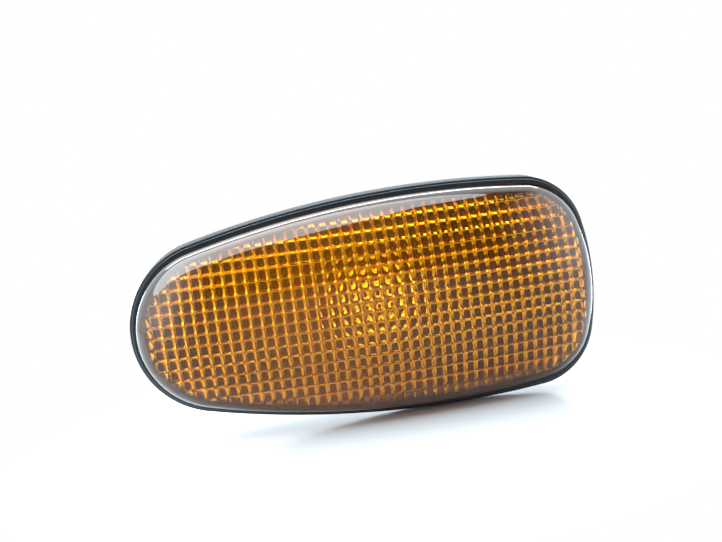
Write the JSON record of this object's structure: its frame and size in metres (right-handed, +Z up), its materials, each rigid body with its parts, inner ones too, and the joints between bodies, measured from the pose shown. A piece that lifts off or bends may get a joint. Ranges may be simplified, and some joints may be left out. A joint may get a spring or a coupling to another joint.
{
  "type": "side repeater lamp",
  "caption": "Egg-shaped amber side turn-signal lamp with a domed pillow-optic lens on a black flared rim; clips into a car's wing, with a capless bulb twisted in from behind.",
  "frame": {"origin": "middle of the rim's outline on the plane of the body panel, the gasket's back face", "axes": "+X along the lamp from the narrow end to the wide end, +Y into the car so that the lens faces -Y, +Z up"},
  "size_m": [0.113, 0.0556, 0.0546],
  "materials": {
    "amber_lens": "polished amber acrylic",
    "black_plastic": "semi-gloss black",
    "black_rubber": "matt",
    "spring_steel": "plain",
    "natural_nylon": "natural",
    "brass": "stamped",
    "clear_glass": "clear",
    "tungsten": "drawn",
    "lead_wire": "drawn"
  },
  "bodies": {
    "root": {"lens": "amber_lens", "housing": "black_plastic", "gasket": "black_rubber", "spring_clip": "spring_steel", "bulb_holder": "natural_nylon", "holder_seal": "black_rubber", "contact_upper": "brass", "contact_lower": "brass", "bulb_glass": "clear_glass", "filament": "tungsten", "lead_left": "lead_wire", "lead_right": "lead_wire"}
  },
  "joints": []
}
